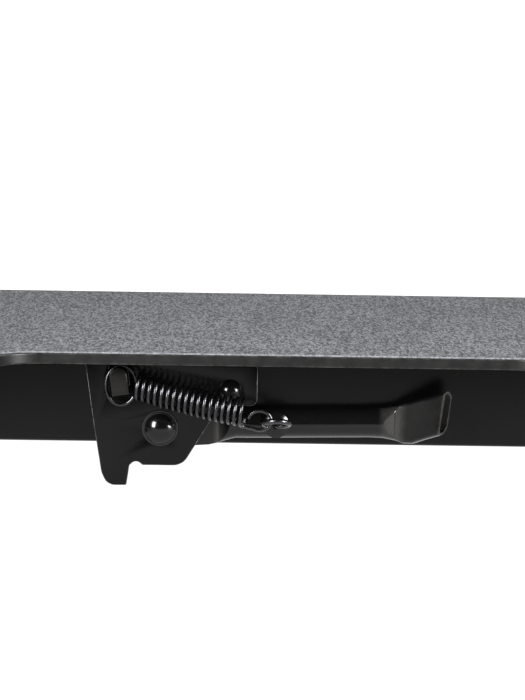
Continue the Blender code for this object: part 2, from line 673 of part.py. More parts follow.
def rails():
    """Two base rails over the stabilizers, their plugs, and the lugs welded to them."""
    width = RAIL_OUT - RAIL_IN
    section = hollow_section(width, RAIL_HEIGHT, TUBE_WALL, 0.002)
    middle_z = (RAIL_BOTTOM + RAIL_TOP) / 2
    for label, side in (("front", -1), ("rear", 1)):
        middle_y = side * (RAIL_IN + RAIL_OUT) / 2
        flat("rail_" + label, section, 2 * RAIL_HALF_LENGTH, "powder_coat",
             (0, middle_y, middle_z), ALONG_X)
        for end, direction in (("left", -1), ("right", 1)):
            x = direction * (RAIL_HALF_LENGTH + 0.0011)
            block("rail_plug_%s_%s" % (label, end),
                  (x - 0.001, middle_y - width / 2, RAIL_BOTTOM),
                  (x + 0.001, middle_y + width / 2, RAIL_TOP), "nylon")


def lug(name, x, half, low, side, near, far):
    """Upright plate with a rounded top and a hole on the axis."""
    top = arc((x, AXIS_HEIGHT), half, 0, 180, 14)
    outline = [(x - half, low), (x + half, low)] + top
    flat(name, [outline, circle(x, AXIS_HEIGHT, HOLE)], far - near, "powder_coat",
         (0, side * (near + far) / 2, 0), FACING_FRONT)


def pivots():
    """Hinge rod and prop rod, with the lugs, spacers and nuts that hold them."""
    for label, side, turn in (("front", -1, FACING_FRONT), ("rear", 1, FACING_REAR)):
        lug("hinge_lug_" + label, HINGE_X, 0.012, RAIL_BOTTOM + 0.002, side, RAIL_OUT + GAP, 0.0853)
        lug("prop_lug_" + label, PROP_X, 0.0105, RAIL_TOP + GAP, side, 0.062, 0.067)
        sleeve("hinge_spacer_" + label, HINGE_X, AXIS_HEIGHT, 0.0856, TUBE_INNER_FACE - GAP, HOLE,
               0.008, "nylon", turn)
        sleeve("hinge_nut_" + label, HINGE_X, AXIS_HEIGHT, TUBE_FACE + GAP, TUBE_FACE + 0.006, HOLE,
               0.0085, "black_zinc", turn)
    rod("hinge_rod", HINGE_X, AXIS_HEIGHT, -0.1215, 0.1215, ROD_RADIUS, "bright_zinc")
    rod("prop_rod", PROP_X, AXIS_HEIGHT, -0.070, 0.070, ROD_RADIUS, "bright_zinc")


def rest_pads():
    """Rubber pads on the left stabilizer that the level deck rests on."""
    for label, side in (("front", -1), ("rear", 1)):
        near, far = side * (TUBE_INNER_FACE + 0.002), side * (TUBE_FACE - 0.002)
        block("rest_pad_" + label,
              (-STABILIZER_X - 0.012, min(near, far), STABILIZER_TOP + SEAT),
              (-STABILIZER_X + 0.012, max(near, far), TUBE_BOTTOM - SEAT), "rubber")


deck_top()
side_tubes()
cross_tubes()
hook_plate("front", -1)
hook_plate("rear", 1)
hook_fixings()
lever()
spring_eye()
lever_shaft()
lock_pawl()
spring()
racks()
prop_frame()
stabilizers()
rails()
pivots()
rest_pads()
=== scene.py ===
"""Slant board with a gritted deck and a spring-loaded latch lever, dressed for rendering.

Metres, +Z up.  X runs along the deck from the end that rises (-X) to the hinged end (+X), and the
latch lever is on the -Y side.
"""
import math

import bmesh
import bpy
import numpy as np
from mathutils import Matrix, Vector
from mathutils.geometry import delaunay_2d_cdt


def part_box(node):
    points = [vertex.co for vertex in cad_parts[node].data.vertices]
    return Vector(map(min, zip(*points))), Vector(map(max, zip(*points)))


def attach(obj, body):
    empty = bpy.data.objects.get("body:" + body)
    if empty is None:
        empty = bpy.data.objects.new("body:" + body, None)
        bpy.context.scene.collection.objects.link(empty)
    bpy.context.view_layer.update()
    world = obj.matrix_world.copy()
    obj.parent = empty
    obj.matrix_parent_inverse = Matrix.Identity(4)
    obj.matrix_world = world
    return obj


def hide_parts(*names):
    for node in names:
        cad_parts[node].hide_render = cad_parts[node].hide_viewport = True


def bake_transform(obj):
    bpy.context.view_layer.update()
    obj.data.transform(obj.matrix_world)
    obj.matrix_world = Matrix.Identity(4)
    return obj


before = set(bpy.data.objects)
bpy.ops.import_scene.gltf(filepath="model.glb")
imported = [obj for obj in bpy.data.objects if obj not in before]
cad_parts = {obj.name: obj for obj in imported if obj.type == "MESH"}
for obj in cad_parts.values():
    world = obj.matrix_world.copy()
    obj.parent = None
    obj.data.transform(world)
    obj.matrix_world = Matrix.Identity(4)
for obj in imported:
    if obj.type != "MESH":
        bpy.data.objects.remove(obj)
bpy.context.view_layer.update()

# ------------------------------------------------------------------ camera, stage and lights
# A long lens a little above the deck, level with the latch, over a white sweep.  The floor glows,
# but not evenly: its glow fades out in front of the board and to its left, so that the black faces
# keep their depth.  Those parts of the floor show as grey areas from other sides.
scene = bpy.context.scene
scene.view_settings.view_transform = "Standard"

CAMERA_PLACE = (-0.0378, -1.458, 0.2621)
CAMERA_ANGLES = (7.03, 1.27, 0.98)  # down, to the right and rolled, in degrees
LENS, SENSOR = 121.5, 36

camera_data = bpy.data.cameras.new("long_lens")
camera_data.sensor_width, camera_data.lens = SENSOR, LENS
camera_data.clip_start, camera_data.clip_end = 0.05, 50
camera = bpy.data.objects.new("long_lens", camera_data)
scene.collection.objects.link(camera)
down, turn, roll = np.radians(CAMERA_ANGLES)
ahead = np.array([np.sin(turn) * np.cos(down), np.cos(turn) * np.cos(down), -np.sin(down)])
level = np.array([np.cos(turn), -np.sin(turn), 0])
upward = np.cross(level, ahead)
rightward = level * np.cos(roll) + upward * np.sin(roll)
upward = np.cross(rightward, ahead)
camera.matrix_world = Matrix.Translation(CAMERA_PLACE) @ Matrix(
    np.array([rightward, upward, -ahead]).T.tolist()).to_4x4()
scene.camera = camera


def linear(code):
    """Linear colour from sRGB hex: a straight line near black, and a power of 2.4 above it."""
    value = np.array([int(code[start:start + 2], 16) for start in (0, 2, 4)]) / 255
    light = np.where(value <= 0.04045, value / 12.92, ((value + 0.055) / 1.055) ** 2.4)
    return (*light, 1.0)


def new_material(name, code, roughness, metallic=0.0):
    """Principled material with a plain base colour, roughness and metalness."""
    made = bpy.data.materials.new(name)
    made.use_nodes = True
    shader = made.node_tree.nodes["Principled BSDF"]
    shader.inputs["Base Color"].default_value = linear(code)
    shader.inputs["Roughness"].default_value = roughness
    shader.inputs["Metallic"].default_value = metallic
    return made, shader


def add_node(made, kind, inputs, **settings):
    """Add a node.  An input given as a socket is linked, and any other value is set on it."""
    new = made.node_tree.nodes.new(kind)
    for key, value in settings.items():
        setattr(new, key, value)
    for key, value in inputs.items():
        if isinstance(value, bpy.types.NodeSocket):
            made.node_tree.links.new(value, new.inputs[key])
        else:
            new.inputs[key].default_value = value
    return new


def link(made, source, shader, socket):
    """Feed a socket of the material's shader."""
    made.node_tree.links.new(source, shader.inputs[socket])


def sheet_object(name, corners, made):
    """A flat four-sided stage piece through its corners."""
    mesh = bpy.data.meshes.new(name)
    mesh.from_pydata(corners, [], [(0, 1, 2, 3)])
    mesh.materials.append(made)
    new = bpy.data.objects.new(name, mesh)
    scene.collection.objects.link(new)
    return new


# Studio sweep: matt mid grey with painted light: it glows white, standing in for light falling on it,
# so the board's shadow barely shows.  The glow fades between two distances in front of the board, and
# to the left of a line that slants across it, to darken the reflections in the black faces; behind
# the board the line has no say.
FRONT_DARK, FRONT_WHITE = -0.66, -0.52
LEFT_DARK, LEFT_WHITE, LEFT_SLANT = -0.29, -0.205, 0.11
sweep, shader = new_material("white_studio_sweep", "6e6e6d", 0.95)
place = add_node(sweep, "ShaderNodeTexCoord", {})
split = add_node(sweep, "ShaderNodeSeparateXYZ", {"Vector": place.outputs["Object"]})
near_far = add_node(sweep, "ShaderNodeMapRange", {
    "Value": split.outputs["Y"], "From Min": FRONT_DARK, "From Max": FRONT_WHITE, "To Min": 0.04,
    "To Max": 1.02}, interpolation_type="SMOOTHSTEP")
slanted = add_node(sweep, "ShaderNodeMath", {
    0: split.outputs["Y"], 1: LEFT_SLANT, 2: split.outputs["X"]}, operation="MULTIPLY_ADD")
left_side = add_node(sweep, "ShaderNodeMapRange", {
    "Value": slanted.outputs[0], "From Min": LEFT_DARK, "From Max": LEFT_WHITE, "To Min": 0.08,
    "To Max": 1.0}, interpolation_type="SMOOTHSTEP")
behind = add_node(sweep, "ShaderNodeMapRange", {
    "Value": split.outputs["Y"], "From Min": 0.0, "From Max": 0.3})
sideways = add_node(sweep, "ShaderNodeMath", {
    0: left_side.outputs[0], 1: behind.outputs[0]}, operation="MAXIMUM")
glow = add_node(sweep, "ShaderNodeMath", {
    0: near_far.outputs[0], 1: sideways.outputs[0]}, operation="MULTIPLY")
shader.inputs["Emission Color"].default_value = (1, 1, 1, 1)
link(sweep, glow.outputs[0], shader, "Emission Strength")
sheet_object("floor", [(-6, -6, 0), (6, -6, 0), (6, 6, 0), (-6, 6, 0)], sweep)
sheet_object("backdrop", [(-6, 5, -0.1), (6, 5, -0.1), (6, 5, 5), (-6, 5, 5)], sweep)

world = bpy.data.worlds.new("studio_room")
world.use_nodes = True
room = world.node_tree.nodes["Background"]
room.inputs["Color"].default_value = (1, 1, 1, 1)
room.inputs["Strength"].default_value = 0.05
scene.world = world

LATCH_MIDDLE = np.array([-0.04, -0.12, 0.07])


def softbox(name, direction, distance, width, height, power):
    """Area light at a distance from the latch along a direction, facing the latch; watts."""
    data = bpy.data.lights.new(name, "AREA")
    data.shape, data.size, data.size_y, data.energy = "RECTANGLE", width, height, power
    lamp = bpy.data.objects.new(name, data)
    scene.collection.objects.link(lamp)
    heading = np.array(direction) / np.linalg.norm(direction)
    side = np.cross([0, 0, 1], heading)
    side /= np.linalg.norm(side)
    turned = Matrix(np.array([side, np.cross(heading, side), heading]).T.tolist())
    place = LATCH_MIDDLE + heading * distance
    lamp.matrix_world = Matrix.Translation(place.tolist()) @ turned.to_4x4()


softbox("left_softbox", (-0.60, -0.74, 0.32), 1.6, 0.46, 0.80, 84)
softbox("right_softbox", (0.81, -0.50, 0.26), 1.6, 0.46, 0.80, 88)
softbox("overhead_softbox", (0.02, 0.10, 1.0), 1.8, 1.6, 1.6, 8)

# ------------------------------------------------------------------ standing deck
# The deck is 6 mm steel plate, cut with a hand recess over the latch and painted satin black all
# over.  Its edges are broken by hand and coloured lighter: partly thin, scuffed paint and partly a
# painted highlight, for the light that they catch.


def rounded_outline(corners, steps=10, guard=0.0004):
    """Closed outline: each corner (x, y, radius) becomes an arc that touches both its sides.

    A straight side keeps one more point just beyond each arc, so that it stays flat in shading.
    """
    corners = np.array(corners, float)
    points, radii = corners[:, :2], corners[:, 2]
    back, ahead_of = np.roll(points, 1, 0) - points, np.roll(points, -1, 0) - points
    long_back = np.linalg.norm(back, axis=1)
    back, ahead_of = (way / np.linalg.norm(way, axis=1, keepdims=True) for way in (back, ahead_of))
    half = np.arccos(np.clip(np.sum(back * ahead_of, 1), -1, 1)) / 2
    reach = radii / np.tan(half)
    bisector = back + ahead_of
    bisector /= np.linalg.norm(bisector, axis=1, keepdims=True)
    centres = points + bisector * (radii / np.sin(half))[:, None]
    free = long_back - reach - np.roll(reach, 1)
    outline = []
    for index, radius in enumerate(radii):
        first, last = (points[index] + way[index] * reach[index] for way in (back, ahead_of))
        if radius == 0:
            outline.append(first[None])
            continue
        from_centre, to_centre = first - centres[index], last - centres[index]
        start = np.arctan2(from_centre[1], from_centre[0])
        arc = (np.arctan2(to_centre[1], to_centre[0]) - start + np.pi) % (2 * np.pi) - np.pi
        angles = start + arc * np.linspace(0, 1, steps + 1)
        bend = centres[index] + radius * np.stack([np.cos(angles), np.sin(angles)], -1)
        if guard and free[index] > 3 * guard:
            outline.append(first[None] + back[index] * guard)
        outline.append(bend if free[index] > 1e-6 else bend[1:])
        if guard and free[(index + 1) % len(radii)] > 3 * guard:
            outline.append(last[None] + ahead_of[index] * guard)
    outline = np.concatenate(outline)
    x, y = outline.T
    clockwise = np.sum(x * np.roll(y, -1) - y * np.roll(x, -1)) < 0
    return outline[::-1] if clockwise else outline


def inset(outline, depth):
    """Each point moves in by the depth, square to the line through its two neighbours."""
    along = np.roll(outline, -1, 0) - np.roll(outline, 1, 0)
    along /= np.linalg.norm(along, axis=1, keepdims=True)
    return outline + depth * np.stack([-along[:, 1], along[:, 0]], -1)


def skin(name, points, wear_and_highlight=None, closed_along=False, sharp=40, caps=None):
    """Surface over a grid of points: rows follow a path and columns go round it.

    Unless the path closes, one face covers each end row, or the given caps of points and faces
    do.  A share per row, from 0 to 1, is kept as a point attribute: it colours scuffed paint on some
    parts and painted highlights and reflections on others.
    """
    rows, columns = points.shape[:2]
    index = np.arange(rows * columns).reshape(rows, columns)
    near = index if closed_along else index[:-1]
    far = np.roll(index, -1, 0) if closed_along else index[1:]
    quads = np.stack([near, np.roll(near, -1, 1), np.roll(far, -1, 1), far], -1)
    faces = quads.reshape(-1, 4).tolist()
    if not closed_along and not caps:
        faces += [index[0][::-1].tolist(), index[-1].tolist()]
    points = points.reshape(-1, 3)
    for cap_points, cap_faces in caps or ():
        faces += [[corner + len(points) for corner in face] for face in cap_faces]
        points = np.concatenate([points, cap_points])
    mesh = bpy.data.meshes.new(name)
    mesh.from_pydata(points.tolist(), [], faces)
    wear_and_highlight_layer = mesh.attributes.new("wear_and_highlight", "FLOAT", "POINT")
    share = np.zeros(rows) if wear_and_highlight is None else np.asarray(wear_and_highlight, float)
    share = np.repeat(share, columns)
    share = np.concatenate([share, np.zeros(len(points) - len(share))])
    wear_and_highlight_layer.data.foreach_set("value", share.astype(np.float32))
    shape = bmesh.new()
    shape.from_mesh(mesh)
    bmesh.ops.remove_doubles(shape, verts=shape.verts, dist=1e-6)
    bmesh.ops.recalc_face_normals(shape, faces=shape.faces)
    shape.to_mesh(mesh)
    shape.free()
    mesh.shade_smooth()
    mesh.set_sharp_from_angle(angle=math.radians(sharp))
    return mesh


def hang(name, mesh, made, body, slot, *nodes):
    """Put a finished mesh on its body, in place of the CAD nodes that it stands for."""
    if made:
        mesh.materials.append(made)
    new = bpy.data.objects.new(name, mesh)
    scene.collection.objects.link(new)
    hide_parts(*nodes)
    if body:
        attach(new, body)
    return new


def slab(name, outline, profile, wear_and_highlight):
    """A sheet: its outline is carried up a profile of (inset, height) points, and its two faces
    are filled inside the first and the last outline."""
    rows = [np.column_stack([inset(outline, depth), np.full(len(outline), height)])
            for depth, height in profile]
    caps = []
    for row in (rows[0], rows[-1]):
        corners, _, faces, *_ = delaunay_2d_cdt([Vector(point) for point in row[:, :2].tolist()],
                                                [], [list(range(len(row)))], 1, 1e-7)
        level_points = np.column_stack([np.array(corners), np.full(len(corners), row[0, 2])])
        caps.append((level_points, faces))
    return skin(name, np.stack(rows), wear_and_highlight, caps=caps)


DECK_CORNER = 0.025
RECESS_HALF, RECESS_DEPTH, RECESS_FILLET = 0.128, 0.030, 0.028


def recessed(low, high, margin, recess_margin):
    """Outline of the deck or its sheet between two corners of its box, with the hand recess."""
    x, y = high[0], high[1]
    recess_y = -y - margin + RECESS_DEPTH + recess_margin
    mouth = RECESS_HALF + RECESS_FILLET + margin
    lip = RECESS_DEPTH - RECESS_FILLET
    corner = DECK_CORNER - margin
    half = [(x, y, corner), (x, -y, corner), (mouth, -y, lip), (mouth, recess_y, y + recess_y - lip)]
    return rounded_outline(half + [(-a, b, radius) for a, b, radius in reversed(half)], 14)


# Satin black paint over plate: low sheen, fine orange peel, and lighter edges: scuffed paint and a
# painted edge highlight.
panel_paint, shader = new_material("satin_black_panel_paint", "040404", 0.28)
shader.inputs["Specular IOR Level"].default_value = 0.20
place = add_node(panel_paint, "ShaderNodeTexCoord", {})
wear_and_highlight_share = add_node(panel_paint, "ShaderNodeAttribute", {}, attribute_name="wear_and_highlight")
scuffs = add_node(panel_paint, "ShaderNodeTexNoise", {
    "Vector": place.outputs["Object"], "Scale": 1 / 0.006, "Detail": 6, "Roughness": 0.7})
rub_and_highlight = add_node(panel_paint, "ShaderNodeMapRange", {
    "Value": scuffs.outputs[0], "From Min": 0.40, "From Max": 0.62})
# Lighter colour along the deck's edges: a painted highlight on the broken edges, patched with scuffed
# paint.
bare_and_highlight = add_node(panel_paint, "ShaderNodeMath", {
    0: wear_and_highlight_share.outputs["Fac"], 1: rub_and_highlight.outputs["Result"]}, operation="MULTIPLY")
tone = add_node(panel_paint, "ShaderNodeMix", {
    0: bare_and_highlight.outputs[0], 6: linear("040404"), 7: linear("2a2927")}, data_type="RGBA")
sheen = add_node(panel_paint, "ShaderNodeMapRange", {
    "Value": scuffs.outputs[0], "To Min": 0.34, "To Max": 0.50})
peel = add_node(panel_paint, "ShaderNodeTexNoise", {
    "Vector": place.outputs["Object"], "Scale": 1 / 0.0016, "Detail": 2})
relief = add_node(panel_paint, "ShaderNodeBump", {
    "Height": peel.outputs[0], "Strength": 0.25, "Distance": 0.0001})
link(panel_paint, tone.outputs[2], shader, "Base Color")
link(panel_paint, sheen.outputs[0], shader, "Roughness")
link(panel_paint, relief.outputs[0], shader, "Normal")

low, high = (np.array(corner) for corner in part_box("deck_panel"))
broken, flat_from = 0.0006, 0.0010
profile = [(flat_from, low[2]), (broken, low[2]), (broken * 0.3, low[2] + broken * 0.3),
           (0, low[2] + broken), (0, low[2] + broken * 1.5), (0, high[2] - broken * 1.5),
           (0, high[2] - broken), (broken * 0.3, high[2] - broken * 0.3), (broken, high[2]),
           (flat_from, high[2])]
# The edge rows are coloured lighter: painted highlight along the broken edges, with scuffed paint.
hang("deck_plate", slab("deck_plate", recessed(low, high, 0, 0), profile,
                        [0, 0.8, 1, 0.5, 0.1, 0.1, 0.3, 1, 1, 0]),
     panel_paint, "deck", "panel_paint", "deck_panel")

# ------------------------------------------------------------------ grit sheet
# Anti-slip sheet stuck to the deck: grey mineral grit in resin on a thin backing.  It is knife-cut
# just inside the deck's edge, where it is coloured lighter: broken grains and a painted highlight
# along the edge.

# Mineral grit in resin: dull, with single bright grains.  Real grains are about 0.5 mm and round.
# These are drawn 0.9 mm wide and about 4.5 times as long from front to back, so that they still
# show from a low camera; from above they look streaky.
GRAIN, GRAIN_SQUEEZE = 0.0009, 0.22
grit, shader = new_material("grey_mineral_grit", "6b6c70", 0.88)
shader.inputs["Specular IOR Level"].default_value = 0.25
place = add_node(grit, "ShaderNodeTexCoord", {})
stretch = add_node(grit, "ShaderNodeMapping", {
    "Vector": place.outputs["Object"], "Scale": (1, GRAIN_SQUEEZE, 1)})
grains = add_node(grit, "ShaderNodeTexVoronoi", {
    "Vector": stretch.outputs[0], "Scale": 1 / GRAIN, "Randomness": 1.0})
cloud = add_node(grit, "ShaderNodeTexNoise", {
    "Vector": stretch.outputs[0], "Scale": 1 / 0.0022, "Detail": 4, "Roughness": 0.75})
drift = add_node(grit, "ShaderNodeTexNoise", {
    "Vector": place.outputs["Object"], "Scale": 1 / 0.060, "Detail": 2})
each = add_node(grit, "ShaderNodeSeparateColor", {"Color": grains.outputs["Color"]})
mixed = add_node(grit, "ShaderNodeMath", {
    0: each.outputs[0], 1: cloud.outputs[0]}, operation="MULTIPLY")
level_of = add_node(grit, "ShaderNodeMapRange", {
    "Value": mixed.outputs[0], "From Min": 0.05, "From Max": 0.50})
tone = add_node(grit, "ShaderNodeMix", {
    0: level_of.outputs[0], 6: linear("27282b"), 7: linear("6c6e71")}, data_type="RGBA")
shade = add_node(grit, "ShaderNodeMapRange", {
    "Value": drift.outputs[0], "From Min": 0.3, "From Max": 0.7, "To Min": 0.9, "To Max": 1.1})
drifted = add_node(grit, "ShaderNodeVectorMath", {
    0: tone.outputs[2], "Scale": shade.outputs[0]}, operation="SCALE")
wear_and_highlight_share = add_node(grit, "ShaderNodeAttribute", {}, attribute_name="wear_and_highlight")
# Lighter colour along the cut edge: broken grains and a painted edge highlight.
cut_edge_and_highlight = add_node(grit, "ShaderNodeMath", {
    0: wear_and_highlight_share.outputs["Fac"], 1: cloud.outputs[0]}, operation="MULTIPLY")
edged = add_node(grit, "ShaderNodeMix", {
    0: cut_edge_and_highlight.outputs[0], 6: drifted.outputs[0], 7: linear("5a5b5e")}, data_type="RGBA")
relief = add_node(grit, "ShaderNodeBump", {
    "Height": mixed.outputs[0], "Strength": 0.55, "Distance": 0.0003})
link(grit, edged.outputs[2], shader, "Base Color")
link(grit, relief.outputs[0], shader, "Normal")

low, high = (np.array(corner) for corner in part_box("grit_sheet"))
profile = [(0.0006, low[2]), (0, low[2]), (0, high[2] - 0.0001), (0.0001, high[2]),
           (0.0009, high[2]), (0.0022, high[2])]
hang("gritted_sheet", slab("gritted_sheet", recessed(low, high, 0.003, 0.0008), profile,
                           [0, 0.9, 1, 1, 0.7, 0]),
     grit, "deck", "grit", "grit_sheet")

# ------------------------------------------------------------------ deck and base tubes
# The deck's side tubes are 50 x 25 mm and its cross tubes 25 mm square; the base has rails of
# 25 x 20 mm on tubes 34 mm square.  All are box section, powder coated satin black, and the coat
# is thick and soft-edged, with a fine orange peel.

# Satin powder coat: nearly black, faint orange peel, scuffed lighter at its corners.
powder_coat, shader = new_material("satin_black_powder_coat", "020202", 0.20)
shader.inputs["Specular IOR Level"].default_value = 0.14
place = add_node(powder_coat, "ShaderNodeTexCoord", {})
wear_and_highlight_share = add_node(powder_coat, "ShaderNodeAttribute", {}, attribute_name="wear_and_highlight")
peel = add_node(powder_coat, "ShaderNodeTexNoise", {
    "Vector": place.outputs["Object"], "Scale": 1 / 0.0014, "Detail": 3})
handled = add_node(powder_coat, "ShaderNodeTexNoise", {
    "Vector": place.outputs["Object"], "Scale": 1 / 0.018, "Detail": 5, "Roughness": 0.65})
# The lighter mix: scuffed paint at the tube ends, and painted light over the spring tongue's face.
rub_and_highlight = add_node(powder_coat, "ShaderNodeMath", {
    0: wear_and_highlight_share.outputs["Fac"], 1: handled.outputs[0]}, operation="MULTIPLY")
tone = add_node(powder_coat, "ShaderNodeMix", {
    0: rub_and_highlight.outputs[0], 6: linear("020202"), 7: linear("262523")}, data_type="RGBA")
gloss = add_node(powder_coat, "ShaderNodeMapRange", {
    "Value": handled.outputs[0], "From Min": 0.3, "From Max": 0.7, "To Min": 0.18, "To Max": 0.24})
relief = add_node(powder_coat, "ShaderNodeBump", {
    "Height": peel.outputs[0], "Strength": 0.22, "Distance": 0.0001})
link(powder_coat, tone.outputs[2], shader, "Base Color")
link(powder_coat, gloss.outputs[0], shader, "Roughness")
link(powder_coat, relief.outputs[0], shader, "Normal")


TUBE_WALL = 0.002


def box_tube(name, node, axis, radius, body):
    """Open box-section tube in a CAD node's box: its outer outline runs along the axis, turns in
    over each end and comes back as the inner outline."""
    low, high = (np.array(corner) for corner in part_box(node))
    others = [other for other in range(3) if other != axis]
    middle, half = (low + high) / 2, (high - low) / 2
    a, b = half[others[0]], half[others[1]]
    ring = rounded_outline([(-a, -b, radius), (a, -b, radius), (a, b, radius), (-a, b, radius)], 8)
    ends = [(0.0003, -half[axis]), (0, -half[axis] + 0.0003), (0, half[axis] - 0.0003),
            (0.0003, half[axis]), (TUBE_WALL, half[axis]), (TUBE_WALL, -half[axis])]
    points = np.zeros((len(ends), len(ring), 3))
    for row, (depth, reach) in enumerate(ends):
        points[row, :, others] = inset(ring, depth).T
        points[row, :, axis] = reach
    mesh = skin(name, points + middle, [0.6, 0.0, 0.0, 0.6, 0.3, 0.0], closed_along=True)
    return hang(name, mesh, powder_coat, body, "powder_coat", node)


for side in ("front", "rear"):
    box_tube("box_tube_" + side, "side_tube_" + side, 0, 0.0032, "deck")
for end in ("left", "right"):
    box_tube("cross_box_" + end, "cross_tube_" + end, 1, 0.002, "deck")
for side in ("front", "rear"):
    box_tube("base_rail_" + side, "rail_" + side, 0, 0.002, "base")
for end in ("left", "right"):
    box_tube("base_foot_tube_" + end, "stabilizer_" + end, 1, 0.003, "base")


def paint(made, *nodes):
    """Give CAD nodes that are shown as they are a finish of their own."""
    for name in nodes:
        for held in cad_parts[name].material_slots:
            held.link = "OBJECT"
            held.material = made


paint(powder_coat, "hook_spacer", "hook_plate_rear", "rack_front", "rack_rear", "prop_leg_front",
      "prop_leg_rear", "prop_tube", "hinge_lug_front", "hinge_lug_rear", "prop_lug_front",
      "prop_lug_rear")

# ------------------------------------------------------------------ hook plate
# Cut from 3 mm steel sheet: a hook finger, a relief notch, a flat seat and a side flag, with a
# tongue pressed out of its face to hold the spring.  It is powder coated after cutting; the coat is
# thin along the cut edges, which are coloured greyer: thin coat and a painted edge highlight.
TUBE_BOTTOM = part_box("side_tube_front")[0][2]
TUBE_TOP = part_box("side_tube_front")[1][2]
PLATE_BACK, PLATE_FACE = 0.1222, 0.1252
PIN_X, PIN_Z = -0.066, TUBE_BOTTOM + 0.010
BOLT_X, BOLT_Z = -0.0263, TUBE_BOTTOM + 0.0317


CUT_EDGE = 0.00035


def ring_of(x, z, radius):
    """Points on a whole circle."""
    angles = np.radians(np.linspace(0, 360, 40, endpoint=False))
    return np.stack([x + radius * np.cos(angles), z + radius * np.sin(angles)], -1)


def cut_plate(name, loops, near, far):
    """Sheet facing the front between two depths, cut to outlines in X and Z, edges rounded."""
    curve = bpy.data.curves.new(name, "CURVE")
    curve.dimensions, curve.fill_mode = "2D", "BOTH"
    curve.bevel_depth, curve.bevel_resolution, curve.offset = CUT_EDGE, 2, -CUT_EDGE
    curve.extrude = (far - near) / 2 - CUT_EDGE
    for loop in loops:
        spline = curve.splines.new("POLY")
        spline.points.add(len(loop) - 1)
        flat_points = np.column_stack([loop, np.zeros(len(loop)), np.ones(len(loop))])
        spline.points.foreach_set("co", flat_points.ravel())
        spline.use_cyclic_u = True
    holder = bpy.data.objects.new(name + "_outline", curve)
    scene.collection.objects.link(holder)
    graph = bpy.context.evaluated_depsgraph_get()
    mesh = bpy.data.meshes.new_from_object(holder.evaluated_get(graph))
    bpy.data.objects.remove(holder)
    mesh.transform(Matrix.Translation((0, -(near + far) / 2, 0)) @ Matrix.Rotation(
        math.pi / 2, 4, "X"))
    shape = bmesh.new()
    shape.from_mesh(mesh)
    bmesh.ops.remove_doubles(shape, verts=shape.verts, dist=2e-6)
    bmesh.ops.recalc_face_normals(shape, faces=shape.faces)
    shape.to_mesh(mesh)
    shape.free()
    facing = np.empty(len(mesh.polygons) * 3, np.float32)
    mesh.polygons.foreach_get("normal", facing)
    rim = np.abs(facing.reshape(-1, 3)[:, 1]) < 0.97
    mesh.polygons.foreach_set("material_index", rim.astype(np.int32))
    mesh.shade_smooth()
    mesh.set_sharp_from_angle(angle=math.radians(50))
    return mesh


# Powder coat over a cut edge: the same coat, thinner, coloured greyer than the faces as thin coat
# and a painted edge highlight, and greyer still in scuffed patches.
edge_coat, shader = new_material("powder_coat_on_cut_edge", "3a3a3a", 0.36)
shader.inputs["Specular IOR Level"].default_value = 0.35
place = add_node(edge_coat, "ShaderNodeTexCoord", {})
chips = add_node(edge_coat, "ShaderNodeTexNoise", {
    "Vector": place.outputs["Object"], "Scale": 1 / 0.0035, "Detail": 6, "Roughness": 0.7})
rub_and_highlight = add_node(edge_coat, "ShaderNodeMapRange", {
    "Value": chips.outputs[0], "From Min": 0.42, "From Max": 0.60})
# The cut edges' grey: thin coat and a painted highlight along each edge.
tone = add_node(edge_coat, "ShaderNodeMix", {
    0: rub_and_highlight.outputs[0], 6: linear("101010"), 7: linear("3a3937")}, data_type="RGBA")
relief = add_node(edge_coat, "ShaderNodeBump", {
    "Height": chips.outputs[0], "Strength": 0.3, "Distance": 0.0001})
link(edge_coat, tone.outputs[2], shader, "Base Color")
link(edge_coat, relief.outputs[0], shader, "Normal")


def hook_outline():
    """Body with its finger, the relief notch, the seat and the flag, each corner rounded."""
    z = TUBE_BOTTOM
    return rounded_outline([
        (-0.1094, TUBE_TOP, 0), (-0.1035, z + 0.010, 0.060), (-0.0992, z - 0.0160, 0.010),
        (-0.0958, z - 0.0233, 0.0068), (-0.0848, z - 0.0233, 0.0012),
        (-0.0832, z - 0.0118, 0.0005), (-0.0796, z - 0.0082, 0.00355), (-0.0758, z - 0.0115, 0.0006),
        (-0.0530, z - 0.0115, 0.0095), (-0.0318, z + 0.0234, 0.004), (-0.0107, z + 0.0234, 0.0040),
        (-0.0107, TUBE_TOP, 0)], 8)


TONGUE_LEAN = math.radians(9)
TONGUE_X, TONGUE_BASE_Z = -0.0878, TUBE_BOTTOM + 0.0298
TONGUE_HALF, TONGUE_THICK, TONGUE_RISE = 0.0050, 0.0028, 0.0115
TONGUE_BACK = 0.1370


def leaning(x, z):
    """Tongue coordinates, across and up, turned to lean with the plate's left edge."""
    return (TONGUE_X + x * np.cos(TONGUE_LEAN) - z * np.sin(TONGUE_LEAN),
            TONGUE_BASE_Z + x * np.sin(TONGUE_LEAN) + z * np.cos(TONGUE_LEAN))


